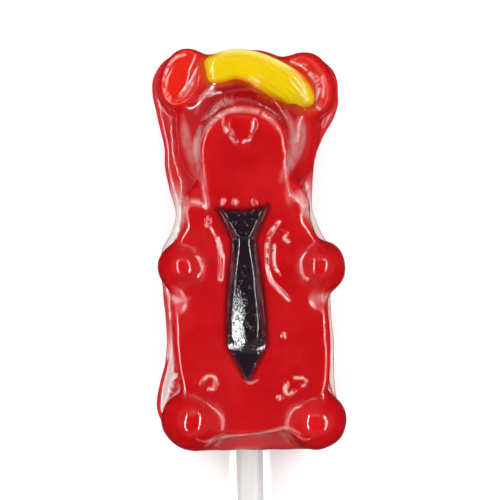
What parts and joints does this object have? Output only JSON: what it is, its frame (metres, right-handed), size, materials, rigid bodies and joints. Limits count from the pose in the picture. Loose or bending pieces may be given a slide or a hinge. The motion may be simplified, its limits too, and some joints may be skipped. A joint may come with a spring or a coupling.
{
  "type": "gummy bear lollipop",
  "caption": "Large translucent gummy bear lollipop lying on its back, with a swept hair lobe, a neck tie and a round stick.",
  "frame": {"origin": "bottom centre of the bounding box of the whole lollipop, on the surface that it lies on", "axes": "+Z is the way the bear faces, out of its front, with the lollipop lying on its back; +Y runs up the stick to the top of the bear's head; +X is to the right of someone who looks at its face"},
  "size_m": [0.054, 0.2092, 0.0376],
  "materials": {
    "jelly_red": "translucent red jelly with a wet gloss, paler where it is thin",
    "jelly_yellow": "cloudy yellow jelly with a wet gloss",
    "jelly_black": "near-black jelly, glossy and finely pitted, maroon at its thin edges",
    "stick_white": "smooth satin white"
  },
  "bodies": {
    "root": {"bear": "jelly_red", "hair": "jelly_yellow", "tie": "jelly_black", "stick": "stick_white"}
  },
  "joints": []
}
